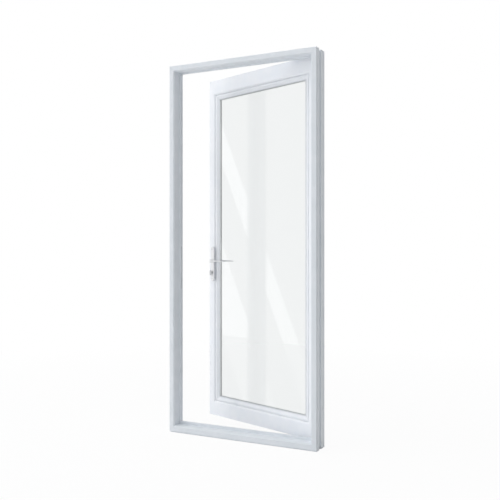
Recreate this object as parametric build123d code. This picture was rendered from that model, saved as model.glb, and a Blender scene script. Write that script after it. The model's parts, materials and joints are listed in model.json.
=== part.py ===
from build123d import *
import math
import os

# A glazed plastic door in its own frame, standing part open.
# X runs along the wall, Y runs from the room side to the far side, Z is up.
# Lengths are in millimetres. The origin is on the underside of the sill's front foot.

# Frame: overall size and the profile that the head and both jambs share
frame_width = 902.0
frame_face_height = 2083.0
frame_depth = 116.0
face_flat = 27.0
reveal_offset = 33.0
bevel_depth = 10.0
edge_chamfer = 1.5
stop_thickness = 10.0
stop_offset = 39.0
rebate_offset = 16.0
channel_start = 42.0
channel_end = 67.0
channel_depth = 6.0
kerf_width = 6.0
kerf_depth = 1.5
front_kerf_at = 16.0
rear_kerf_inset = 14.0

# Sill: a taller stop, and two feet below the face of the frame
sill_stop_rise = 10.0
sill_rebate_rise = 9.0
foot_setback = 8.0
foot_drop = 7.0

# Leaf: size follows from the frame and these gaps
leaf_thickness = 45.0
leaf_stop_gap = 7.0
gap_hinge = 5.0
gap_latch = 7.0
gap_top = 5.0
gap_sill = 5.0
open_angle = 19.5
stile_flat = 40.0
rail_flat = 79.0
sash_bevel_width = 9.0
sash_bevel_depth = 6.0

# Glazing: two panes and a spacer, held between the sash lip and the beads
glazing_depth = 15.0
pane_thickness = 4.0
bead_groove = 2.5
bead_foot = 2.5
bead_flat = 12.5
bead_bevel = 13.5
pane_edge_gap = 3.0
spacer_recess = 8.0

# Seals on the back of the stop
seal_foot_width = 3.0
seal_foot_depth = 3.0
seal_width = 5.0
seal_proud = 1.8
seal_inset = 2.5
seal_bulb_steps = 6

# Hinges on the far side
hinge_count = 3
hinge_height = 100.0
hinge_end_inset = 200.0
axis_behind_face = 8.0
barrel_radius = 7.0
pin_radius = 4.0
pin_clearance = 0.06
knuckle_gap = 0.6
end_knuckle = 28.0
plate_thickness = 3.0
frame_plate_width = 13.0
leaf_plate_width = 34.0
plate_corner = 4.0
pin_cap_height = 4.0
pin_cap_bevel = 2.5

# Handle set
handle_from_edge = 36.0
lever_height = 966.0
cylinder_drop = 70.0
plate_top_above_lever = 86.0
plate_bottom_below_lever = 122.0
handle_plate_width = 28.0
handle_plate_thickness = 12.0
seat_gap = 0.3
plate_edge_bevel = 2.5
neck_radius = 8.0
neck_clearance = 0.06
neck_into_plate = 8.0
lever_arm_length = 110.0
lever_arm_from_plate = 3.5
lever_hub_radius = 9.0
lever_hub_length = 15.0
lever_hub_rim = 2.0
lever_arm_radius = 5.5
lever_waist_radius = 3.5
lever_tip_radius = 2.5
lever_tip_bevel = 1.0
lever_arm_sides = 20
spindle_side = 8.0
spindle_hole_radius = 7.0
spindle_in_lever = 8.0

# Lock cylinder, turn and bolts
cylinder_radius = 8.5
cylinder_tail_width = 10.0
cylinder_tail_length = 33.0
cylinder_clearance = 0.3
turn_stem_radius = 5.0
turn_stem_length = 9.0
turn_spigot_radius = 3.0
turn_spigot_length = 8.0
turn_running = 0.06
turn_blade_height = 30.0
turn_blade_width = 12.0
turn_blade_thickness = 6.0
turn_blade_bevel = 1.5
faceplate_width = 20.0
faceplate_height = 235.0
faceplate_thickness = 3.0
faceplate_centre_drop = 35.0
latch_width = 12.0
latch_height = 24.0
latch_above_lever = 35.0
bolt_width = 14.0
bolt_height = 32.0
bolt_below_lever = 115.0
bolt_body_length = 30.0
bolt_clearance = 0.3
strike_width = 24.0
strike_thickness = 2.5
strike_extra_height = 10.0
strike_hole_extra = 2.0
keep_depth = 12.0

# Fixing holes through the jambs
fixing_hole_radius = 4.0
fixing_outer_spacing = 1680.0
fixing_inner_spacing = 560.0

# How far a cut runs past the face that it opens
cut_past = 1.0

# Places worked out from the sizes above
stop_end = frame_depth - leaf_thickness - leaf_stop_gap
stop_start = stop_end - stop_thickness
rear_kerf_at = frame_depth - rear_kerf_inset - kerf_width
front_y = -(foot_setback + channel_start) / 2
back_y = front_y + frame_depth
left_x = -frame_width / 2
right_x = frame_width / 2
face_bottom = foot_drop
frame_top = face_bottom + frame_face_height
mid_z = face_bottom + frame_face_height / 2
sill_stop_top = face_bottom + stop_offset + sill_stop_rise
sill_rebate_top = face_bottom + rebate_offset + sill_rebate_rise

leaf_left = left_x + rebate_offset + gap_latch
leaf_right = right_x - rebate_offset - gap_hinge
leaf_bottom = sill_rebate_top + gap_sill
leaf_top = frame_top - rebate_offset - gap_top
leaf_near = front_y + stop_end + leaf_stop_gap
leaf_far = leaf_near + leaf_thickness
stile_width = stile_flat + sash_bevel_width
rail_width = rail_flat + sash_bevel_width
lip_width = bead_flat + bead_bevel
unit_thickness = leaf_thickness - 2 * glazing_depth

hinge_x = leaf_right + gap_hinge / 2
hinge_y = leaf_far + axis_behind_face
hinge_axis = Axis((hinge_x, hinge_y, 0), (0, 0, 1))
handle_x = leaf_left + handle_from_edge
lever_z = face_bottom + lever_height
cylinder_z = lever_z - cylinder_drop
faceplate_z = lever_z - faceplate_centre_drop
faceplate_y = leaf_near + leaf_thickness / 2
latch_z = lever_z + latch_above_lever
bolt_z = lever_z - bolt_below_lever


def place(part, on_leaf):
    # The leaf stands open, so whatever it carries is turned about the hinge axis.
    if on_leaf:
        return part.rotate(hinge_axis, -open_angle)
    return part


def save(name, part, on_leaf=False):
    os.makedirs("parts", exist_ok=True)
    export_step(place(part, on_leaf), "parts/" + name + ".step")


def block(x_range, y_range, z_range):
    size = [high - low for low, high in (x_range, y_range, z_range)]
    return Pos(x_range[0], y_range[0], z_range[0]) * Box(*size, align=Align.MIN)


def upright(points, z_low, z_high):
    # A profile given as (x, y) points, run upwards.
    profile = Pos(0, 0, z_low) * Polygon(*points, align=None)
    return extrude(profile, amount=z_high - z_low, dir=(0, 0, 1))


def level(points, x_low, x_high):
    # A profile given as (y, z) points, run along X.
    across = Plane(origin=(x_low, 0, 0), x_dir=(0, 1, 0), z_dir=(1, 0, 0))
    return extrude(across * Polygon(*points, align=None), amount=x_high - x_low, dir=(1, 0, 0))


def through(points):
    # A prism with an outline given as (x, z) points, deep enough to cut any piece.
    outline = Plane.XZ * Polygon(*points, align=None)
    return extrude(outline, amount=4 * frame_depth, both=True)


def ring_corners(side, box):
    # The (x, z) outline of one side of a ring: along its outer edge, then back between the mitres.
    x_low, x_high, z_low, z_high = box
    reach = min(x_high - x_low, z_high - z_low) / 2
    outer = [(x_low, z_low), (x_low, z_high), (x_high, z_high), (x_high, z_low)]
    inner = [
        (x_low + reach, z_low + reach), (x_low + reach, z_high - reach),
        (x_high - reach, z_high - reach), (x_high - reach, z_low + reach),
    ]
    start = ("left", "top", "right", "bottom").index(side)
    end = (start + 1) % len(outer)
    return [outer[start], outer[end], inner[end], inner[start]]


def ring_side(section, side, box, y_start):
    # One mitred side of a rectangular ring. The section is (inward, back) points.
    x_low, x_high, z_low, z_high = box
    if side == "left":
        bar = upright([(x_low + u, y_start + v) for u, v in section], z_low, z_high)
    elif side == "right":
        bar = upright([(x_high - u, y_start + v) for u, v in section], z_low, z_high)
    elif side == "top":
        bar = level([(y_start + v, z_high - u) for u, v in section], x_low, x_high)
    else:
        bar = level([(y_start + v, z_low + u) for u, v in section], x_low, x_high)
    return bar & through(ring_corners(side, box))


def frame_section():
    return [
        (edge_chamfer, 0), (face_flat, 0), (reveal_offset, bevel_depth),
        (reveal_offset, stop_start), (stop_offset, stop_start), (stop_offset, stop_end),
        (rebate_offset, stop_end), (rebate_offset, frame_depth), (edge_chamfer, frame_depth),
        (0, frame_depth - edge_chamfer),
        (0, rear_kerf_at + kerf_width), (kerf_depth, rear_kerf_at + kerf_width),
        (kerf_depth, rear_kerf_at), (0, rear_kerf_at),
        (0, channel_end), (channel_depth, channel_end),
        (channel_depth, channel_start), (0, channel_start),
        (0, front_kerf_at + kerf_width), (kerf_depth, front_kerf_at + kerf_width),
        (kerf_depth, front_kerf_at), (0, front_kerf_at),
        (0, edge_chamfer),
    ]


def sill_section():
    # Heights above the underside of the feet, with the same face as the rest of the frame.
    return [
        (0, face_bottom), (0, face_bottom + face_flat), (bevel_depth, face_bottom + reveal_offset),
        (stop_start, face_bottom + reveal_offset), (stop_start, sill_stop_top),
        (stop_end, sill_stop_top), (stop_end, sill_rebate_top), (frame_depth, sill_rebate_top),
        (frame_depth, 0),
        (channel_end, 0), (channel_end, face_bottom + channel_depth),
        (channel_start, face_bottom + channel_depth), (channel_start, 0),
        (foot_setback, 0), (foot_setback, face_bottom),
    ]


def seal_kerf(u_centre):
    half = seal_foot_width / 2
    return [
        (u_centre - half, stop_end - seal_foot_depth), (u_centre + half, stop_end - seal_foot_depth),
        (u_centre + half, stop_end), (u_centre - half, stop_end),
    ]


frame_box = (left_x, right_x, face_bottom, frame_top)
seal_offset = stop_offset - seal_inset
sill_seal_z = sill_stop_top - seal_inset


def fixing_heights():
    spacings = (fixing_outer_spacing, fixing_inner_spacing)
    return [mid_z + sign * spacing / 2 for spacing in spacings for sign in (-1, 1)]


def fixing_holes(side):
    # Plain holes from the rebate, right through the jamb to the wall.
    hole_y = front_y + (channel_end + frame_depth) / 2
    middle = side * (frame_width / 2 - rebate_offset / 2)
    holes = Part()
    for height in fixing_heights():
        bore = Cylinder(fixing_hole_radius, 2 * rebate_offset, rotation=(0, 90, 0))
        holes += Pos(middle, hole_y, height) * bore
    return holes


def strike_box(depth, extra, z_centre, height, width):
    face_x = left_x + rebate_offset
    half_w = width / 2 + extra
    half_h = height / 2 + extra
    return block(
        (face_x - depth, face_x + cut_past),
        (faceplate_y - half_w, faceplate_y + half_w),
        (z_centre - half_h, z_centre + half_h),
    )


def strike_recess():
    height = faceplate_height + strike_extra_height
    return strike_box(strike_thickness, 0, faceplate_z, height, strike_width)


def keeps():
    latch = strike_box(keep_depth, strike_hole_extra, latch_z, latch_height, latch_width)
    bolt = strike_box(keep_depth, strike_hole_extra, bolt_z, bolt_height, bolt_width)
    return latch + bolt


def build_jamb(side):
    name = "left" if side < 0 else "right"
    jamb = ring_side(frame_section(), name, frame_box, front_y)
    jamb -= ring_side(seal_kerf(seal_offset), name, frame_box, front_y)
    jamb -= fixing_holes(side)
    if side < 0:
        jamb -= strike_recess()
        jamb -= keeps()
    return jamb


def build_head():
    head = ring_side(frame_section(), "top", frame_box, front_y)
    return head - ring_side(seal_kerf(seal_offset), "top", frame_box, front_y)


def build_sill(jambs):
    profile = [(front_y + v, z) for v, z in sill_section()]
    sill = level(profile, left_x, right_x)
    inner_left = left_x + rebate_offset
    inner_right = right_x - rebate_offset
    mitre_top = face_bottom + rebate_offset
    top = sill_stop_top + cut_past
    keep = [
        (left_x, 0), (left_x, face_bottom), (inner_left, mitre_top), (inner_left, top),
        (inner_right, top), (inner_right, mitre_top), (right_x, face_bottom), (right_x, 0),
    ]
    sill = sill & through(keep)
    for jamb in jambs:
        sill -= jamb
    half = seal_foot_width / 2
    kerf = block(
        (left_x + stop_offset, right_x - stop_offset),
        (front_y + stop_end - seal_foot_depth, front_y + stop_end),
        (sill_seal_z - half, sill_seal_z + half),
    )
    return sill - kerf


def seal_section(u_centre):
    # A foot in the kerf and a low rounded bulb on the back of the stop.
    half_foot = seal_foot_width / 2
    half = seal_width / 2
    low = stop_end - seal_foot_depth
    foot = [
        (u_centre - half_foot, stop_end), (u_centre - half_foot, low),
        (u_centre + half_foot, low), (u_centre + half_foot, stop_end),
    ]
    angles = [math.pi * k / seal_bulb_steps for k in range(seal_bulb_steps + 1)]
    bulb = [(u_centre + half * math.cos(a), stop_end + seal_proud * math.sin(a)) for a in angles]
    return foot + bulb


def build_seal(side):
    if side == "bottom":
        points = [(front_y + v, z) for z, v in seal_section(sill_seal_z)]
        return level(points, left_x + stop_offset, right_x - stop_offset)
    seal = ring_side(seal_section(seal_offset), side, frame_box, front_y)
    if side != "top":
        seal -= block((left_x, right_x), (front_y, back_y), (0, sill_stop_top))
    return seal


def build_strike():
    jamb_part = block((left_x, left_x + rebate_offset), (front_y, back_y), (0, frame_top))
    return (strike_recess() & jamb_part) - keeps()


def sash_section():
    # Half of the sash: flat face, bevel, glazing rebate and the far lip.
    flat = stile_flat
    inner = stile_width
    far = leaf_thickness
    lip = inner + lip_width
    return [
        (0, 0), (flat, 0), (inner, sash_bevel_depth), (inner, far - glazing_depth),
        (lip, far - glazing_depth), (lip - bead_bevel, far - sash_bevel_depth),
        (inner, far - sash_bevel_depth), (flat, far), (0, far),
    ]


def rail_section():
    grow = rail_flat - stile_flat
    return [(u + grow if u > 0 else 0, v) for u, v in sash_section()]


leaf_box = (leaf_left, leaf_right, leaf_bottom, leaf_top)


def sash_region(x_edge, toward, z_edge, inward):
    # Corner points shared by a stile and a rail: the butt joint, then the mitre of the lips.
    x_inner = x_edge + toward * stile_width
    z_inner = z_edge + inward * rail_width
    reach = 2 * lip_width
    return [(x_inner, z_edge), (x_inner, z_inner), (x_inner + toward * reach, z_inner + inward * reach)]


def build_rail(side):
    z_edge, inward = (leaf_top, -1) if side == "top" else (leaf_bottom, 1)
    profile = [(leaf_near + v, z_edge + inward * u) for u, v in rail_section()]
    rail = level(profile, leaf_left + stile_width, leaf_right - stile_width)
    left = sash_region(leaf_left, 1, z_edge, inward)
    right = sash_region(leaf_right, -1, z_edge, inward)
    return rail & through(left + right[::-1])


def build_stile(side):
    x_edge, toward = (leaf_left, 1) if side < 0 else (leaf_right, -1)
    profile = [(x_edge + toward * u, leaf_near + v) for u, v in sash_section()]
    stile = upright(profile, leaf_bottom, leaf_top)
    low = sash_region(x_edge, toward, leaf_bottom, 1)
    high = sash_region(x_edge, toward, leaf_top, -1)
    stile = stile & through([(x_edge, leaf_bottom)] + low + high[::-1] + [(x_edge, leaf_top)])
    x_flat = x_edge + toward * stile_flat
    x_inner = x_edge + toward * stile_width
    for z_edge, inward in ((leaf_bottom, 1), (leaf_top, -1)):
        points = [(leaf_near + v, z_edge + inward * u) for u, v in rail_section()]
        end = level(points, min(x_flat, x_inner), max(x_flat, x_inner))
        corner = [
            (x_flat, z_edge), (x_inner, z_edge),
            (x_inner, z_edge + inward * rail_width), (x_flat, z_edge + inward * rail_flat),
        ]
        stile += end & through(corner)
    return stile


def cylinder_profile(clearance):
    # The keyhole outline of the lock cylinder, round above and narrow below.
    radius = cylinder_radius + clearance
    half = cylinder_tail_width / 2 + clearance
    tail = cylinder_tail_length - cylinder_radius - cylinder_tail_width / 2
    head = Circle(radius)
    shank = Pos(0, -tail / 2) * Rectangle(2 * half, tail)
    foot = Pos(0, -tail) * Circle(half)
    return head + shank + foot


def along_y(sketch, x, z, y_low, y_high):
    plane = Plane(origin=(x, y_low, z), x_dir=(1, 0, 0), z_dir=(0, -1, 0))
    return extrude(plane * sketch, amount=y_high - y_low, dir=(0, 1, 0))


def disc(radius, z, y_one, y_other):
    # A round piece on the handle's upright line, between two depths in either order.
    return along_y(Circle(radius), handle_x, z, min(y_one, y_other), max(y_one, y_other))


def bolt_block(width, height, z_centre, length, extra):
    return block(
        (leaf_left, leaf_left + length),
        (faceplate_y - width / 2 - extra, faceplate_y + width / 2 + extra),
        (z_centre - height / 2 - extra, z_centre + height / 2 + extra),
    )


def faceplate_blank():
    outline = SlotOverall(faceplate_height, faceplate_width, rotation=90)
    plane = Plane(origin=(leaf_left, faceplate_y, faceplate_z), x_dir=(0, 1, 0), z_dir=(1, 0, 0))
    return extrude(plane * outline, amount=faceplate_thickness, dir=(1, 0, 0))


def build_latch_stile():
    stile = build_stile(-1)
    stile -= faceplate_blank()
    stile -= bolt_block(latch_width, latch_height, latch_z, bolt_body_length, bolt_clearance)
    stile -= bolt_block(bolt_width, bolt_height, bolt_z, bolt_body_length, bolt_clearance)
    stile -= disc(spindle_hole_radius, lever_z, leaf_near, leaf_far)
    stile -= along_y(cylinder_profile(cylinder_clearance), handle_x, cylinder_z, leaf_near, leaf_far)
    return stile


def build_faceplate():
    plate = faceplate_blank()
    plate -= bolt_block(latch_width, latch_height, latch_z, bolt_body_length, bolt_clearance)
    return plate - bolt_block(bolt_width, bolt_height, bolt_z, bolt_body_length, bolt_clearance)


def build_latch_bolt():
    # The sprung latch, drawn back flush, with its leading corner sloped.
    bolt = bolt_block(latch_width, latch_height, latch_z, bolt_body_length, 0)
    edge = bolt.edges().filter_by(Axis.Z).sort_by(Axis.X)[:2].sort_by(Axis.Y)[-1]
    return chamfer(edge, latch_width / 2)


def build_deadbolt():
    return bolt_block(bolt_width, bolt_height, bolt_z, bolt_body_length, 0)


bead_box = (
    leaf_left + stile_width, leaf_right - stile_width,
    leaf_bottom + rail_width, leaf_top - rail_width,
)


def build_bead(side):
    # A clip-in bead: a foot against the sash, a narrow groove over it, a flat and a slope.
    section = [
        (bead_groove, sash_bevel_depth), (bead_flat, sash_bevel_depth), (lip_width, glazing_depth),
        (0, glazing_depth), (0, glazing_depth - bead_foot), (bead_groove, glazing_depth - bead_foot),
    ]
    return ring_side(section, side, bead_box, leaf_near)


def pane_box():
    x_low, x_high, z_low, z_high = bead_box
    inset = pane_edge_gap
    return (x_low + inset, x_high - inset, z_low + inset, z_high - inset)


def build_pane(depth):
    x_low, x_high, z_low, z_high = pane_box()
    y_low = leaf_near + depth
    return block((x_low, x_high), (y_low, y_low + pane_thickness), (z_low, z_high))


def build_spacer(side):
    # The bar between the panes, set back behind the edge of the beads.
    y_low = glazing_depth + pane_thickness
    y_high = y_low + unit_thickness - 2 * pane_thickness
    width = lip_width - pane_edge_gap - spacer_recess
    section = [(0, y_low), (width, y_low), (width, y_high), (0, y_high)]
    return ring_side(section, side, pane_box(), leaf_near)


def hinge_heights():
    low = leaf_bottom + hinge_end_inset
    high = leaf_top - hinge_end_inset
    return [low + (high - low) * k / (hinge_count - 1) for k in range(hinge_count)]


def barrel(radius, z_low, z_high):
    return Pos(hinge_x, hinge_y, (z_low + z_high) / 2) * Cylinder(radius, z_high - z_low)


def hinge_plate(x_far, z_low, z_high):
    # A flat plate on the far face, from its rounded free corners to the barrel.
    x_low, x_high = sorted((hinge_x, x_far))
    plate = block((x_low, x_high), (leaf_far, leaf_far + plate_thickness), (z_low, z_high))
    free = plate.edges().filter_by(Axis.Y).sort_by(Axis.X)
    free = free[:2] if x_far < hinge_x else free[-2:]
    return fillet(free, plate_corner)


def build_frame_hinge(z_centre):
    z_low = z_centre - hinge_height / 2
    z_high = z_centre + hinge_height / 2
    x_far = hinge_x + gap_hinge / 2 + frame_plate_width
    half = hinge_plate(x_far, z_low, z_high)
    middle = (z_low + end_knuckle, z_high - end_knuckle)
    half -= barrel(barrel_radius + knuckle_gap, *middle)
    half -= block((hinge_x, hinge_x + gap_hinge / 2), (leaf_far, hinge_y), middle)
    half += barrel(barrel_radius, z_low, middle[0])
    half += barrel(barrel_radius, middle[1], z_high)
    return half - barrel(pin_radius + pin_clearance, z_low, z_high)


def build_leaf_hinge(z_centre):
    z_low = z_centre - hinge_height / 2
    z_high = z_centre + hinge_height / 2
    x_far = hinge_x - gap_hinge / 2 - leaf_plate_width
    half = hinge_plate(x_far, z_low, z_high)
    inner = (z_low + end_knuckle + knuckle_gap, z_high - end_knuckle - knuckle_gap)
    for ends in ((z_low, inner[0]), (inner[1], z_high)):
        half -= barrel(barrel_radius + knuckle_gap, *ends)
        half -= block((hinge_x - gap_hinge / 2, hinge_x), (leaf_far, hinge_y), ends)
    half += barrel(barrel_radius, *inner)
    return half - barrel(pin_radius + pin_clearance, z_low, z_high)


def build_hinge_pin(z_centre):
    z_low = z_centre - hinge_height / 2
    z_high = z_centre + hinge_height / 2
    pin = barrel(pin_radius, z_low, z_high)
    for z_end, z_cap in ((z_low, z_low - pin_cap_height), (z_high, z_high + pin_cap_height)):
        cap = barrel(barrel_radius, min(z_end, z_cap), max(z_end, z_cap))
        rim = cap.edges().filter_by(GeomType.CIRCLE).sort_by(Axis.Z)
        rim = rim[0] if z_cap < z_end else rim[-1]
        pin += chamfer(rim, pin_cap_bevel)
    return pin


def build_handle_plate(side):
    # side is -1 on the room face of the leaf and 1 on the far face.
    z_low = lever_z - plate_bottom_below_lever
    z_high = lever_z + plate_top_above_lever
    face = leaf_near if side < 0 else leaf_far
    outer = face + side * handle_plate_thickness
    outline = SlotOverall(z_high - z_low, handle_plate_width, rotation=90)
    plate = along_y(outline, handle_x, (z_low + z_high) / 2, min(face, outer), max(face, outer))
    rim = plate.faces().sort_by(Axis.Y)[0 if side < 0 else -1].edges()
    plate = chamfer(rim, plate_edge_bevel)
    y_low = min(face, outer) - cut_past
    y_high = max(face, outer) + cut_past
    plate -= disc(neck_radius + neck_clearance, lever_z, y_low, y_high)
    plate -= along_y(cylinder_profile(cylinder_clearance), handle_x, cylinder_z, y_low, y_high)
    return plate


def lever_arm(y_arm):
    # A slim bar of many flat sides: thick at the hub, thin past the waist, with a bevelled tip.
    tip = lever_arm_length
    stations = (
        (0, lever_arm_radius), (lever_hub_radius, lever_arm_radius), (tip / 2, lever_waist_radius),
        (tip - lever_tip_bevel, lever_tip_radius), (tip, lever_tip_radius - lever_tip_bevel),
    )
    sections = []
    for reach, radius in stations:
        across = Plane(origin=(handle_x + reach, y_arm, lever_z), x_dir=(0, 1, 0), z_dir=(1, 0, 0))
        sections.append(across * RegularPolygon(radius, lever_arm_sides))
    return loft(sections, ruled=True)


def build_lever(side):
    # A round hub that turns in the plate, and a slim arm towards the hinges.
    face = leaf_near if side < 0 else leaf_far
    plate_face = face + side * handle_plate_thickness
    neck_start = plate_face - side * neck_into_plate
    hub_start = plate_face + side * seat_gap
    hub_end = hub_start + side * lever_hub_length
    neck = disc(neck_radius, lever_z, neck_start, hub_start)
    hub = disc(lever_hub_radius, lever_z, hub_start, hub_end)
    rim = hub.edges().filter_by(GeomType.CIRCLE).sort_by(Axis.Y)[0 if side < 0 else -1]
    hub = chamfer(rim, lever_hub_rim)
    y_arm = hub_start + side * (lever_arm_from_plate + lever_arm_radius)
    return neck + hub + lever_arm(y_arm) - spindle_bar()


def spindle_bar():
    near = leaf_near - handle_plate_thickness + neck_into_plate - spindle_in_lever
    far = leaf_far + handle_plate_thickness - neck_into_plate + spindle_in_lever
    return along_y(Rectangle(spindle_side, spindle_side), handle_x, lever_z, near, far)


def turn_spigot(extra, length):
    y_face = leaf_near - handle_plate_thickness
    return disc(turn_spigot_radius + extra, cylinder_z, y_face - seat_gap, y_face + length)


def build_cylinder():
    # The lock cylinder runs from plate to plate, flush with both.
    y_low = leaf_near - handle_plate_thickness
    y_high = leaf_far + handle_plate_thickness
    body = along_y(cylinder_profile(0), handle_x, cylinder_z, y_low, y_high)
    return body - turn_spigot(turn_running, turn_spigot_length + seat_gap)


def build_turn():
    # A short stem with an upright blade across its end.
    y_base = leaf_near - handle_plate_thickness - seat_gap
    y_stem = y_base - turn_stem_length
    y_blade = y_stem - turn_blade_thickness
    stem = disc(turn_stem_radius, cylinder_z, y_stem, y_base)
    outline = SlotOverall(turn_blade_height, turn_blade_width, rotation=90)
    blade = along_y(outline, handle_x, cylinder_z, y_blade, y_stem)
    rim = blade.faces().sort_by(Axis.Y)[0].edges()
    blade = chamfer(rim, turn_blade_bevel)
    return stem + blade + turn_spigot(0, turn_spigot_length)


jamb_latch = build_jamb(-1)
jamb_hinge = build_jamb(1)
save("frame_head", build_head())
save("frame_sill", build_sill([jamb_latch, jamb_hinge]))
save("frame_jamb_latch", jamb_latch)
save("frame_jamb_hinge", jamb_hinge)
save("seal_head", build_seal("top"))
save("seal_sill", build_seal("bottom"))
save("seal_jamb_latch", build_seal("left"))
save("seal_jamb_hinge", build_seal("right"))
save("strike_plate", build_strike())

save("leaf_rail_top", build_rail("top"), True)
save("leaf_rail_bottom", build_rail("bottom"), True)
save("leaf_stile_latch", build_latch_stile(), True)
save("leaf_stile_hinge", build_stile(1), True)
for side in ("top", "bottom", "left", "right"):
    save("bead_" + side, build_bead(side), True)
    save("spacer_" + side, build_spacer(side), True)
save("pane_room_side", build_pane(glazing_depth), True)
save("pane_far_side", build_pane(glazing_depth + unit_thickness - pane_thickness), True)

for z_centre, place_name in zip(hinge_heights(), ("low", "middle", "high")):
    save("hinge_frame_half_" + place_name, build_frame_hinge(z_centre))
    save("hinge_pin_" + place_name, build_hinge_pin(z_centre))
    save("hinge_leaf_half_" + place_name, build_leaf_hinge(z_centre), True)

save("lock_faceplate", build_faceplate(), True)
save("latch_bolt", build_latch_bolt(), True)
save("deadbolt", build_deadbolt(), True)
save("lock_cylinder", build_cylinder(), True)
save("thumbturn", build_turn(), True)
save("handle_plate_room_side", build_handle_plate(-1), True)
save("handle_plate_far_side", build_handle_plate(1), True)
save("lever_room_side", build_lever(-1), True)
save("lever_far_side", build_lever(1), True)
save("lever_spindle", spindle_bar(), True)
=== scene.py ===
import json
import math

import bmesh
import bpy
from mathutils import Matrix, Vector


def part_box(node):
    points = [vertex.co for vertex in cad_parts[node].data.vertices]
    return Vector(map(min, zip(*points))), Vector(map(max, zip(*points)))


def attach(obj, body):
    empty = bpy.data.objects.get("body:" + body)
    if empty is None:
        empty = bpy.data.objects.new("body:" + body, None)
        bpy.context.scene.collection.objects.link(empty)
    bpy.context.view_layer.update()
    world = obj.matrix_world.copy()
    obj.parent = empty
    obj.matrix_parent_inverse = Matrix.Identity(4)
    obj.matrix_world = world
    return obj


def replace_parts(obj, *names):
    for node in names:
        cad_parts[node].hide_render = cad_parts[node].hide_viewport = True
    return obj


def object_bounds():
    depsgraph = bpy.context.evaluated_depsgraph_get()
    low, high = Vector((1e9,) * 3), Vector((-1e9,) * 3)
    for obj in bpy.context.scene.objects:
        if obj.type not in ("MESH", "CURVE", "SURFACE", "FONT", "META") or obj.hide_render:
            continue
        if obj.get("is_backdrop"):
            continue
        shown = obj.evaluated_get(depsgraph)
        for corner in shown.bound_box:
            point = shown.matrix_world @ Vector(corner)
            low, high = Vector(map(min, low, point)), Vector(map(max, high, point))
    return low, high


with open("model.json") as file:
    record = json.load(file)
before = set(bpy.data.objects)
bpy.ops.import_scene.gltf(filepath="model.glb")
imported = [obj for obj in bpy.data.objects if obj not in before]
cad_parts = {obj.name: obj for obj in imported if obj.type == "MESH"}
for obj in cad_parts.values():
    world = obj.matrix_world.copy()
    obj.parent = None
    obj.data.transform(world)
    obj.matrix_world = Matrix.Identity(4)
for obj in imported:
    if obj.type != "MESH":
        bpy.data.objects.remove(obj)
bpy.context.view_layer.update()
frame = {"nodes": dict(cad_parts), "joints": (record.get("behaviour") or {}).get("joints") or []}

nodes = frame["nodes"]
joints = {joint["name"]: joint for joint in frame["joints"]}

# Outer frame: four lengths of hollow window profile, extruded in rigid PVC and welded at the
# mitres. The skin comes off the die smooth and slightly wavy, so it has a soft, broad sheen.
# Both frame whites are greyer than the leaf's. Part of that is the frame's own colour and part is
# painted shade: the square-on frame catches less of the light from the left than the turned leaf.
frame_white_and_painted_shade = "#E9EDF2"
frame_cool_white_and_painted_shade = "#E4E9EE"
frame_roughness = 0.38
pvc_ior = 1.53
mm_in_metre = 1000
die_wave_mm = 60
skin_grain_mm = 1.2  # really about 0.1 mm, drawn coarser so that it can show
grain_smoother = 0.04
grain_rougher = 0.05
grain_height = 0.00006
welded_edge_radius = 0.0008
sharp_corner = math.radians(30)
joined_within = 0.00001


def linear(colour):
    parts = [int(colour[i:i + 2], 16) / 255 for i in (1, 3, 5)]
    return [c / 12.92 if c <= 0.04045 else ((c + 0.055) / 1.055) ** 2.4 for c in parts] + [1.0]


def add(tree, kind, settings=None, links=None):
    made = tree.nodes.new(kind)
    for name, value in (settings or {}).items():
        if isinstance(name, int) or name in made.inputs:
            made.inputs[name].default_value = value
        else:
            setattr(made, name, value)
    for name, socket in (links or {}).items():
        tree.links.new(socket, made.inputs[name])
    return made


def new_material(name):
    material = bpy.data.materials.new(name)
    material.use_nodes = True
    tree = material.node_tree
    tree.nodes.clear()
    return material, tree


def wear(piece, material):
    piece.data.materials.clear()
    piece.data.materials.append(material)


def extruded_pvc(name, colour, cool, roughness):
    # Two whites drift along the bar, and a fine grain breaks up the shine.
    material, tree = new_material(name)
    where = add(tree, "ShaderNodeTexCoord")
    drift = add(tree, "ShaderNodeTexNoise", {"Scale": mm_in_metre / die_wave_mm, "Detail": 2.0},
                {"Vector": where.outputs["Object"]})
    grain = add(tree, "ShaderNodeTexNoise", {"Scale": mm_in_metre / skin_grain_mm, "Detail": 3.0},
                {"Vector": where.outputs["Object"]})
    whites = add(tree, "ShaderNodeValToRGB", {}, {"Fac": drift.outputs["Fac"]})
    whites.color_ramp.elements[0].position = 0.35
    whites.color_ramp.elements[0].color = linear(cool)
    whites.color_ramp.elements[1].position = 0.65
    whites.color_ramp.elements[1].color = linear(colour)
    matt = add(tree, "ShaderNodeMapRange", {"To Min": roughness - grain_smoother,
                                           "To Max": roughness + grain_rougher},
               {"Value": grain.outputs["Fac"]})
    relief = add(tree, "ShaderNodeBump", {"Strength": 0.12, "Distance": grain_height},
                 {"Height": grain.outputs["Fac"]})
    skin = add(tree, "ShaderNodeBsdfPrincipled", {"IOR": pvc_ior},
               {"Base Color": whites.outputs["Color"], "Roughness": matt.outputs["Result"],
                "Normal": relief.outputs["Normal"]})
    add(tree, "ShaderNodeOutputMaterial", {}, {"Surface": skin.outputs["BSDF"]})
    return material


def ease_edges(piece, radius):
    # The die rounds every corner of the profile, which leaves a fine groove at each joint.
    whole = piece.modifiers.new("joined_corners", "WELD")
    whole.merge_threshold = joined_within
    rounding = piece.modifiers.new("eased_edges", "BEVEL")
    rounding.width = radius
    rounding.loop_slide = False
    rounding.segments = 2
    rounding.limit_method = "ANGLE"
    rounding.angle_limit = sharp_corner
    rounding.use_clamp_overlap = True
    even = piece.modifiers.new("even_shading", "WEIGHTED_NORMAL")
    even.weight = 60


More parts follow.
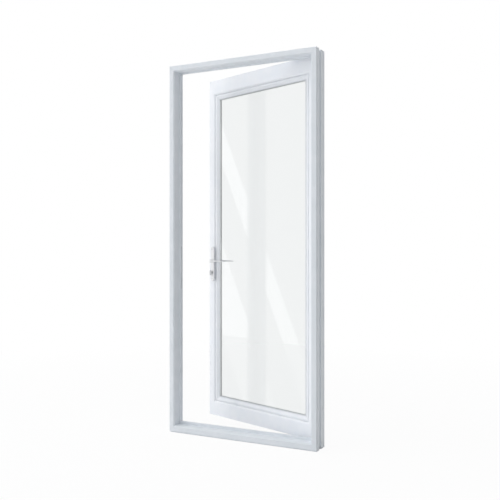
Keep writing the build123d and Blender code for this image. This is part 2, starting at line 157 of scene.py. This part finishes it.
frame_pvc = extruded_pvc("rigid_pvc_frame_white", frame_white_and_painted_shade, frame_cool_white_and_painted_shade,
                         frame_roughness)
for name in ("frame_head", "frame_sill", "frame_jamb_latch", "frame_jamb_hinge"):
    wear(nodes[name], frame_pvc)
    ease_edges(nodes[name], welded_edge_radius)

# Bubble seals: soft grey rubber, extruded and pushed into the groove on the back of the stop.
# The surface is dull, with a faint cloudy bloom.
seal_grey = "#8B9095"
seal_dark = "#7B8085"
rubber_roughness = 0.75
rubber_ior = 1.52
bloom_mm = 8
bloom_height = 0.0001


def rubber(name, light, dark):
    material, tree = new_material(name)
    where = add(tree, "ShaderNodeTexCoord")
    bloom = add(tree, "ShaderNodeTexNoise", {"Scale": mm_in_metre / bloom_mm, "Detail": 4.0},
                {"Vector": where.outputs["Object"]})
    greys = add(tree, "ShaderNodeValToRGB", {}, {"Fac": bloom.outputs["Fac"]})
    greys.color_ramp.elements[0].color = linear(dark)
    greys.color_ramp.elements[1].color = linear(light)
    relief = add(tree, "ShaderNodeBump", {"Strength": 0.2, "Distance": bloom_height},
                 {"Height": bloom.outputs["Fac"]})
    skin = add(tree, "ShaderNodeBsdfPrincipled", {"Roughness": rubber_roughness, "IOR": rubber_ior},
               {"Base Color": greys.outputs["Color"], "Normal": relief.outputs["Normal"]})
    add(tree, "ShaderNodeOutputMaterial", {}, {"Surface": skin.outputs["BSDF"]})
    return material


seal_rubber = rubber("epdm_rubber_seal_grey", seal_grey, seal_dark)
for name in ("seal_head", "seal_sill", "seal_jamb_latch", "seal_jamb_hinge"):
    wear(nodes[name], seal_rubber)

# Leaf: four lengths of a heavier profile of the same rigid PVC, the rails welded in between
# full-height stiles. It is drawn a brighter white than the frame and is a little shinier. Part of
# the extra brightness is painted light, for the light from the left that falls more fully on the
# turned leaf.
# Both leaf whites carry painted light as well as the leaf's own colour.
leaf_white_and_painted_light = "#F8FAFE"
leaf_cool_white_and_painted_light = "#F4F7FC"
leaf_roughness = 0.34
leaf_pvc = extruded_pvc("rigid_pvc_leaf_white", leaf_white_and_painted_light, leaf_cool_white_and_painted_light, leaf_roughness)
for name in ("leaf_rail_top", "leaf_rail_bottom", "leaf_stile_latch", "leaf_stile_hinge"):
    wear(nodes[name], leaf_pvc)
    ease_edges(nodes[name], welded_edge_radius)

swing = joints["door_swing"]
hinge_line = Vector(swing["pos_m"])
opened = math.radians(-swing["range_deg"][0])
leaf_turn = (Matrix.Translation(hinge_line) @ Matrix.Rotation(opened, 4, Vector(swing["axis"]))
             @ Matrix.Translation(-hinge_line))


def shut_box(name):
    # The lowest and highest corner of one of the leaf's nodes, with the leaf swung shut.
    spots = [leaf_turn.inverted() @ corner.co for corner in nodes[name].data.vertices]
    return (Vector([min(spot[axis] for spot in spots) for axis in range(3)]),
            Vector([max(spot[axis] for spot in spots) for axis in range(3)]))


# Glazing beads: thin clip-in strips of the leaf's white PVC, mitred at the corners. They hold
# the glass from the room side, and shine as the leaf does.
bead_white = "#F5F7FB"
bead_white_cool = "#F0F3F8"
bead_edge_radius = 0.0005
bead_pvc = extruded_pvc("rigid_pvc_bead_white", bead_white, bead_white_cool, leaf_roughness)
for side in ("top", "bottom", "left", "right"):
    wear(nodes["bead_" + side], bead_pvc)
    ease_edges(nodes["bead_" + side], bead_edge_radius)

# Sealed glass unit: two panes of 4 mm float glass on a spacer bar. Float glass is flat and
# clear, with a faint green in its depth, and a thin coating here weakens what it mirrors.
glass_tint = "#F8F9F9"
coated_glass_ior = 1.33  # bare glass is 1.52
coated_specular = 0.1  # bare glass is 0.5
pane_arris = 0.0006
pane_play = 0.0002  # the gap between a pane and what holds it
float_glass, tree = new_material("float_glass_clear_coated")
glass = add(tree, "ShaderNodeBsdfPrincipled",
            {"Base Color": linear(glass_tint), "Roughness": 0.0, "IOR": coated_glass_ior,
             "Specular IOR Level": coated_specular, "Transmission Weight": 1.0})
lets_light = add(tree, "ShaderNodeBsdfTransparent", {"Color": linear(glass_tint)})
rays = add(tree, "ShaderNodeLightPath")
either = add(tree, "ShaderNodeMixShader", {},
             {0: rays.outputs["Is Shadow Ray"], 1: glass.outputs["BSDF"],
              2: lets_light.outputs["BSDF"]})
add(tree, "ShaderNodeOutputMaterial", {}, {"Surface": either.outputs["Shader"]})


def keep_piece(name, shape, material, body):
    # Turns a finished shape into a piece that wears its material and moves with its body.
    mesh = bpy.data.meshes.new(name)
    bmesh.ops.recalc_face_normals(shape, faces=shape.faces)
    shape.to_mesh(mesh)
    shape.free()
    piece = bpy.data.objects.new(name, mesh)
    bpy.context.scene.collection.objects.link(piece)
    wear(piece, material)
    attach(piece, body)
    return piece


def ground_pane(name, node):
    # A flat sheet whose sharp edges are ground off, a hair thinner than its seat.
    low, high = shut_box(node)
    size = high - low - 2 * pane_play * Vector((1, 1, 1))
    shape = bmesh.new()
    bmesh.ops.create_cube(shape, size=1)
    bmesh.ops.scale(shape, vec=size, verts=shape.verts)
    bmesh.ops.bevel(shape, geom=shape.edges[:], offset=pane_arris, segments=1, affect="EDGES")
    bmesh.ops.transform(shape, matrix=leaf_turn @ Matrix.Translation((low + high) / 2),
                        verts=shape.verts)
    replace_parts(keep_piece(name, shape, float_glass, "leaf"), node)


ground_pane("glass_sheet_room_side", "pane_room_side")
ground_pane("glass_sheet_far_side", "pane_far_side")

# Spacer bar: rolled aluminium folded to a hollow section and sealed in between the panes. It
# is bright, with faint lines along it, and mirrors what is outside.
spacer_bright = "#F5F6F7"
spacer_shade = "#EDEFF0"
spacer_roughness = 0.24
belt_line_mm = 0.8  # really about 0.1 mm, drawn coarser so that it can show
belt_line_length = 40  # times its width
belt_line_height = 0.00003
belt_line_sheen = 0.06
along_x, along_y, along_z = range(3)
sight_edge = 0.0005
spacer_tail = 0.008


def brushed_metal(name, light, dark, roughness, line_mm, along):
    # Fine lines left by the belt run along one axis and drift in brightness.
    material, tree = new_material(name)
    where = add(tree, "ShaderNodeTexCoord")
    stretch = [mm_in_metre / line_mm] * 3
    stretch[along] = mm_in_metre / (line_mm * belt_line_length)
    drawn_out = add(tree, "ShaderNodeMapping", {"Scale": stretch},
                    {"Vector": where.outputs["Object"]})
    lines = add(tree, "ShaderNodeTexNoise", {"Scale": 1.0, "Detail": 3.0},
                {"Vector": drawn_out.outputs["Vector"]})
    tones = add(tree, "ShaderNodeValToRGB", {}, {"Fac": lines.outputs["Fac"]})
    tones.color_ramp.elements[0].position = 0.3
    tones.color_ramp.elements[0].color = linear(dark)
    tones.color_ramp.elements[1].position = 0.7
    tones.color_ramp.elements[1].color = linear(light)
    matt = add(tree, "ShaderNodeMapRange", {"To Min": roughness - belt_line_sheen,
                                           "To Max": roughness + belt_line_sheen},
               {"Value": lines.outputs["Fac"]})
    relief = add(tree, "ShaderNodeBump", {"Strength": 0.15, "Distance": belt_line_height},
                 {"Height": lines.outputs["Fac"]})
    skin = add(tree, "ShaderNodeBsdfPrincipled", {"Metallic": 1.0},
               {"Base Color": tones.outputs["Color"], "Roughness": matt.outputs["Result"],
                "Normal": relief.outputs["Normal"]})
    add(tree, "ShaderNodeOutputMaterial", {}, {"Surface": skin.outputs["BSDF"]})
    return material


spacer_alloy = brushed_metal("rolled_aluminium_spacer_bright", spacer_bright, spacer_shade,
                             spacer_roughness, belt_line_mm, along_z)
for side in ("top", "bottom", "left", "right"):
    wear(nodes["spacer_" + side], spacer_alloy)


def swept_strip(name, section, opening, y_start, outward, material):
    # One small section swept round an opening, mitred at the corners.
    left, right, bottom, top = opening
    shape = bmesh.new()
    rings = []
    for inset, lift in section:
        y = y_start + outward * lift
        corners = ((left + inset, y, bottom + inset), (right - inset, y, bottom + inset),
                   (right - inset, y, top - inset), (left + inset, y, top - inset))
        rings.append([shape.verts.new(leaf_turn @ Vector(corner)) for corner in corners])
    for ring, after in zip(rings, rings[1:] + rings[:1]):
        for k in range(4):
            shape.faces.new((ring[k - 1], ring[k], after[k], after[k - 1]))
    keep_piece(name, shape, material, "leaf")


# The bar's folded inner face stands just proud of the beads, all round between the panes.
bead_opening = (shut_box("bead_left")[1].x, shut_box("bead_right")[0].x,
                shut_box("bead_bottom")[1].z, shut_box("bead_top")[0].z)
cavity_start = shut_box("pane_room_side")[1].y
cavity_depth = shut_box("pane_far_side")[0].y - cavity_start
swept_strip("spacer_inner_face",
            ((-spacer_tail, pane_play), (sight_edge, pane_play),
             (sight_edge, cavity_depth - pane_play), (-spacer_tail, cavity_depth - pane_play)),
            bead_opening, cavity_start, 1, spacer_alloy)

# Glazing gaskets: soft white rubber strips, pressed in between the glass and the plastic all
# round on both faces. Only a narrow sloping lip shows.
gasket_grey = "#E6E9EC"
gasket_dark = "#DADDE1"
gasket_section = ((0.0, 0.0), (0.0050, 0.0), (0.0040, 0.0010), (0.0, 0.0022))
gasket_rubber = rubber("tpe_rubber_gasket_white", gasket_grey, gasket_dark)
swept_strip("glazing_gasket_room_side", gasket_section, bead_opening,
            shut_box("pane_room_side")[0].y, -1, gasket_rubber)
sash_opening = (shut_box("leaf_stile_latch")[1].x, shut_box("leaf_stile_hinge")[0].x,
                shut_box("leaf_rail_bottom")[1].z, shut_box("leaf_rail_top")[0].z)
swept_strip("glazing_gasket_far_side", gasket_section, sash_opening,
            shut_box("pane_far_side")[1].y, 1, gasket_rubber)

# Hinges: three butt hinges of cast zinc, screwed to frame and leaf on the far side. Their
# white powder coat is a little duller than the plastic, and each pin is ground steel.
coat_white = "#E8EBEE"
coat_white_cool = "#E2E6EA"
coat_roughness = 0.42
pin_light = "#C4C7CB"
pin_dark = "#B2B5B9"
pin_roughness = 0.32
pin_line_mm = 1.0
hinge_coat = extruded_pvc("powder_coat_hinge_white", coat_white, coat_white_cool, coat_roughness)
pin_steel = brushed_metal("ground_steel_pin", pin_light, pin_dark, pin_roughness, pin_line_mm,
                          along_z)
for place in ("low", "middle", "high"):
    wear(nodes["hinge_frame_half_" + place], hinge_coat)
    wear(nodes["hinge_leaf_half_" + place], hinge_coat)
    wear(nodes["hinge_pin_" + place], pin_steel)

# Lock: a long faceplate, latch and deadbolt let into the leaf's edge, and a strike plate in
# the jamb, all satin steel with fine lines along it. The cylinder is brass, nickel plated.
lock_light = "#C2C5C9"
lock_dark = "#B0B3B7"
lock_roughness = 0.34
nickel_light = "#CBCCCD"
nickel_dark = "#BDBEBF"
nickel_roughness = 0.28
lock_steel = brushed_metal("satin_steel_lock", lock_light, lock_dark, lock_roughness,
                           belt_line_mm, along_z)
for name in ("lock_faceplate", "latch_bolt", "deadbolt", "strike_plate", "lever_spindle"):
    wear(nodes[name], lock_steel)
cylinder_nickel = brushed_metal("nickel_plated_brass_cylinder", nickel_light, nickel_dark,
                                nickel_roughness, belt_line_mm, along_y)
wear(nodes["lock_cylinder"], cylinder_nickel)

# Handle set: plates and levers in aluminium, belt finished and clear anodised, which leaves
# a pale satin skin. The small turn under the room-side lever is darker satin steel.
handle_light = "#EBECEE"
handle_dark = "#DFE1E3"
handle_roughness = 0.36
turn_light = "#C6C8CB"
turn_dark = "#B7B9BC"
turn_roughness = 0.33
handle_alloy = brushed_metal("satin_anodised_aluminium_handle", handle_light, handle_dark,
                             handle_roughness, belt_line_mm, along_z)
turn_steel = brushed_metal("satin_steel_turn", turn_light, turn_dark, turn_roughness,
                           belt_line_mm, along_z)
for name in ("handle_plate_room_side", "handle_plate_far_side", "lever_room_side",
             "lever_far_side"):
    wear(nodes[name], handle_alloy)
wear(nodes["thumbturn"], turn_steel)

# Screws: low domed cross heads, pressed in steel and zinc plated, which leaves them bright.
# They hold the hinges, the faceplate, the strike plate and the room-side handle plate.
zinc_light = "#C9CCD0"
zinc_dark = "#B4B8BC"
zinc_roughness = 0.34
zinc_line_mm = 0.6
screw_zinc = brushed_metal("zinc_plated_steel_screw", zinc_light, zinc_dark, zinc_roughness,
                           zinc_line_mm, along_x)
head_sectors = 32
head_rings = (0.0, 0.14, 0.26, 0.38, 0.5, 0.62, 0.76, 0.9, 1.0)
head_crown = 0.0003
cross_depth = 0.0011
cross_half_width = 0.17
cross_reach = 0.56


def in_cross(x, y):
    return min(abs(x), abs(y)) < cross_half_width and max(abs(x), abs(y)) < cross_reach


def round_head(shape, place, radius, recess, depth):
    # A low dome on a face, sunk where the recess function says. Local Z points off the face.
    rings = []
    for share in head_rings:
        ring = []
        for k in range(head_sectors if share else 1):
            angle = 2 * math.pi * k / head_sectors
            x, y = share * math.cos(angle), share * math.sin(angle)
            height = head_crown * (1 - share ** 2) - (depth if recess(x, y) else 0)
            ring.append(shape.verts.new(place @ Vector((x * radius, y * radius, height))))
        rings.append(ring)
    for inner, outer in zip(rings, rings[1:]):
        for k in range(head_sectors):
            after = (k + 1) % head_sectors
            if len(inner) == 1:
                shape.faces.new((inner[0], outer[k], outer[after]))
            else:
                shape.faces.new((inner[k], outer[k], outer[after], inner[after]))


def facing(spot, outward):
    # A place on a face, with local Z outward and local Y up.
    up = Vector((0, 0, 1))
    across = up.cross(Vector(outward))
    turn = Matrix((across, up, Vector(outward))).transposed().to_4x4()
    return Matrix.Translation(Vector(spot)) @ turn


def screws(name, places, radius, body):
    # All the heads of one fitting make one piece.
    shape = bmesh.new()
    for place in places:
        round_head(shape, place, radius, in_cross, cross_depth)
    keep_piece(name, shape, screw_zinc, body)


far_side = (0, 1, 0)
room_side = (0, -1, 0)
latch_side = (-1, 0, 0)
hinge_side = (1, 0, 0)
hinge_plate_thickness = 0.003
frame_screw_radius = 0.0028
leaf_screw_radius = 0.0036
lock_screw_radius = 0.0036
plate_screw_radius = 0.0034
frame_screw_inset = 0.0046
frame_screw_rows = (-0.034, 0.0, 0.034)
leaf_screw_spots = ((-0.034, 0.008), (-0.012, 0.020), (0.012, 0.008), (0.034, 0.020))
frame_places = []
leaf_places = []
for place_name in ("low", "middle", "high"):
    low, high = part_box("hinge_frame_half_" + place_name)
    middle = (low.z + high.z) / 2
    plate_face = shut_box("leaf_stile_hinge")[1].y + hinge_plate_thickness
    for row in frame_screw_rows:
        frame_places.append(facing((high.x - frame_screw_inset, plate_face, middle + row),
                                   far_side))
    free_edge = shut_box("hinge_leaf_half_" + place_name)[0].x
    for row, inset in leaf_screw_spots:
        leaf_places.append(leaf_turn @ facing((free_edge + inset, plate_face, middle + row),
                                              far_side))
screws("hinge_screws_frame", frame_places, frame_screw_radius, "frame")
screws("hinge_screws_leaf", leaf_places, leaf_screw_radius, "leaf")

end_inset = 0.009
low, high = shut_box("lock_faceplate")
screws("faceplate_screws",
       [leaf_turn @ facing((low.x, (low.y + high.y) / 2, z), latch_side)
        for z in (low.z + end_inset, high.z - end_inset)],
       lock_screw_radius, "leaf")
low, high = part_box("strike_plate")
screws("strike_plate_screws",
       [facing((high.x, (low.y + high.y) / 2, z), hinge_side)
        for z in (low.z + end_inset, high.z - end_inset)],
       lock_screw_radius, "frame")
plate_screw_inset = 0.016
low, high = shut_box("handle_plate_room_side")
screws("handle_plate_screws",
       [leaf_turn @ facing(((low.x + high.x) / 2, low.y, z), room_side)
        for z in (low.z + plate_screw_inset, high.z - plate_screw_inset)],
       plate_screw_radius, "leaf")

# Cylinder plug: the turned brass core that takes the key on the far side, nickel plated, with
# a narrow keyway cut into its face.
plug_radius = 0.0065
keyway_half_width = 0.16
keyway_reach = 0.62
keyway_depth = 0.003


def in_keyway(x, y):
    return abs(x) < keyway_half_width and abs(y) < keyway_reach


low, high = shut_box("lock_cylinder")
shape = bmesh.new()
plug_height = high.z - (high.x - low.x) / 2
plug_place = leaf_turn @ facing(((low.x + high.x) / 2, high.y, plug_height), far_side)
round_head(shape, plug_place, plug_radius, in_keyway, keyway_depth)
keep_piece("cylinder_plug_far_side", shape, cylinder_nickel, "leaf")

# Camera: level, at half the height of the door and to the right of it. Its place and lens
# come from the way that the door's level lines run together.
focal_px = 720.4
picture_px = 500
sensor_mm = 36
camera_yaw = math.radians(27.27)
camera = bpy.data.cameras.new("camera")
camera.sensor_width = sensor_mm
camera.lens = focal_px * sensor_mm / picture_px
camera.shift_y = -0.0028
camera_holder = bpy.data.objects.new("camera", camera)
camera_holder.location = (1.8463, -3.476, 1.0485)
camera_holder.rotation_euler = (math.radians(90), 0, camera_yaw)
bpy.context.scene.collection.objects.link(camera_holder)
bpy.context.scene.camera = camera_holder
bpy.context.scene.view_settings.view_transform = "Standard"

# Studio floor: one large pale matt sheet. It shows white far off, and near the door it keeps
# the door's soft shadow.
floor_grey = "#F2F2F2"
floor_reach = 300
shadow_near = 1.3
shadow_far = 4.0
shadow_share = 0.93


def shows_backdrop(tree):
    # 1 for the rays that see the background: straight, mirrored or through the glass.
    rays = add(tree, "ShaderNodeLightPath")
    either = add(tree, "ShaderNodeMath", {"operation": "MAXIMUM"},
                 {0: rays.outputs["Is Camera Ray"], 1: rays.outputs["Is Glossy Ray"]})
    return add(tree, "ShaderNodeMath", {"operation": "MAXIMUM"},
               {0: either.outputs[0], 1: rays.outputs["Is Transmission Ray"]})


floor_mesh = bpy.data.meshes.new("floor")
floor_mesh.from_pydata([(-floor_reach, -floor_reach, 0), (floor_reach, -floor_reach, 0),
                        (floor_reach, floor_reach, 0), (-floor_reach, floor_reach, 0)],
                       [], [(0, 1, 2, 3)])
floor = bpy.data.objects.new("floor", floor_mesh)
bpy.context.scene.collection.objects.link(floor)
floor.visible_glossy = False  # the white dome shows there, and the streak lamps too
floor_pale, tree = new_material("studio_floor_pale")
spot = add(tree, "ShaderNodeNewGeometry")
distance = add(tree, "ShaderNodeVectorMath", {"operation": "LENGTH"},
               {0: spot.outputs["Position"]})
whiteness = add(tree, "ShaderNodeMapRange",
                {"From Min": shadow_near, "From Max": shadow_far, "To Min": shadow_share,
                 "To Max": 1.0}, {"Value": distance.outputs["Value"]})
share = add(tree, "ShaderNodeMath", {"operation": "MULTIPLY"},
            {0: shows_backdrop(tree).outputs[0], 1: whiteness.outputs["Result"]})
matt = add(tree, "ShaderNodeBsdfDiffuse", {"Color": linear(floor_grey)})
glow = add(tree, "ShaderNodeEmission", {"Color": (1, 1, 1, 1), "Strength": 1.0})
either = add(tree, "ShaderNodeMixShader", {},
             {0: share.outputs[0], 1: matt.outputs["BSDF"], 2: glow.outputs["Emission"]})
add(tree, "ShaderNodeOutputMaterial", {}, {"Surface": either.outputs["Shader"]})
wear(floor, floor_pale)
floor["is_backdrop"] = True

# Studio dome: pale cloth all round, lit from the left so that it fades to the right. Seen
# straight, mirrored or through the glass, it is plain white.
dome_left = 1.04
dome_right = 0.17
dome_tint = (0.97, 0.985, 1, 1)
world = bpy.data.worlds.new("studio_dome")
bpy.context.scene.world = world
world.use_nodes = True
tree = world.node_tree
tree.nodes.clear()
where = add(tree, "ShaderNodeTexCoord")
way = add(tree, "ShaderNodeSeparateXYZ", {}, {0: where.outputs["Generated"]})
fade = add(tree, "ShaderNodeMapRange",
           {"From Min": -1.0, "From Max": 1.0, "To Min": dome_left, "To Max": dome_right},
           {"Value": way.outputs["X"]})
lit = add(tree, "ShaderNodeBackground", {"Color": dome_tint},
          {"Strength": fade.outputs["Result"]})
white = add(tree, "ShaderNodeBackground", {"Color": (1, 1, 1, 1), "Strength": 1.0})
either = add(tree, "ShaderNodeMixShader", {},
             {0: shows_backdrop(tree).outputs[0], 1: lit.outputs["Background"],
              2: white.outputs["Background"]})
add(tree, "ShaderNodeOutputWorld", {}, {"Surface": either.outputs["Shader"]})


# Lamps: a large soft box low on the left, one overhead, and two slim ones that only show as
# pale slanting streaks in the glass.
def soft_box(name, width, height, watts):
    lamp = bpy.data.lights.new(name, "AREA")
    lamp.shape = "RECTANGLE"
    lamp.size = width
    lamp.size_y = height
    lamp.energy = watts
    holder = bpy.data.objects.new(name, lamp)
    holder.visible_camera = False
    bpy.context.scene.collection.objects.link(holder)
    return holder


box_size = 3.5
lamp_target = Vector((0, 0.1, 1.05))
for name, place, watts in (("key_lamp", (-4.48, -2.59, 0.51), 92),
                           ("top_lamp", (0, -0.9, 6.17), 112)):
    lamp = soft_box(name, box_size, box_size, watts)
    lamp.visible_glossy = False  # metal shows the plain dome instead
    lamp.visible_transmission = False  # and so does the glass
    lamp.location = place
    lamp.rotation_euler = (lamp_target - lamp.location).to_track_quat("-Z", "Y").to_euler()

streak_drop = 2.0  # how far a streak falls for each metre across the glass
streak_glow = 0.66
streak_length = 4.0
pane_face = shut_box("pane_room_side")[0].y
off_pane = leaf_turn.to_3x3() @ Vector((0, -1, 0))
down_streak = (leaf_turn.to_3x3() @ Vector((1, 0, -streak_drop))).normalized()


def streak_lamp(name, height_at_middle, width_on_glass):
    # Lies as far in front of the pane as the camera does, so it is twice the streak's size.
    middle = leaf_turn @ Vector((0, pane_face, height_at_middle))
    from_pane = (camera_holder.location - middle).dot(off_pane)
    behind = camera_holder.location - 2 * from_pane * off_pane
    width = 2 * width_on_glass
    watts = streak_glow * math.pi * width * streak_length
    lamp = soft_box(name, width, streak_length, watts)
    lamp.visible_diffuse = False
    sides = Matrix((down_streak.cross(off_pane), down_streak, off_pane)).transposed()
    lamp.matrix_world = Matrix.Translation(2 * middle - behind) @ sides.to_4x4()


streak_lamp("streak_lamp_upper", 1.005, 0.105)
streak_lamp("streak_lamp_lower", 0.14, 0.240)

low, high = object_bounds()
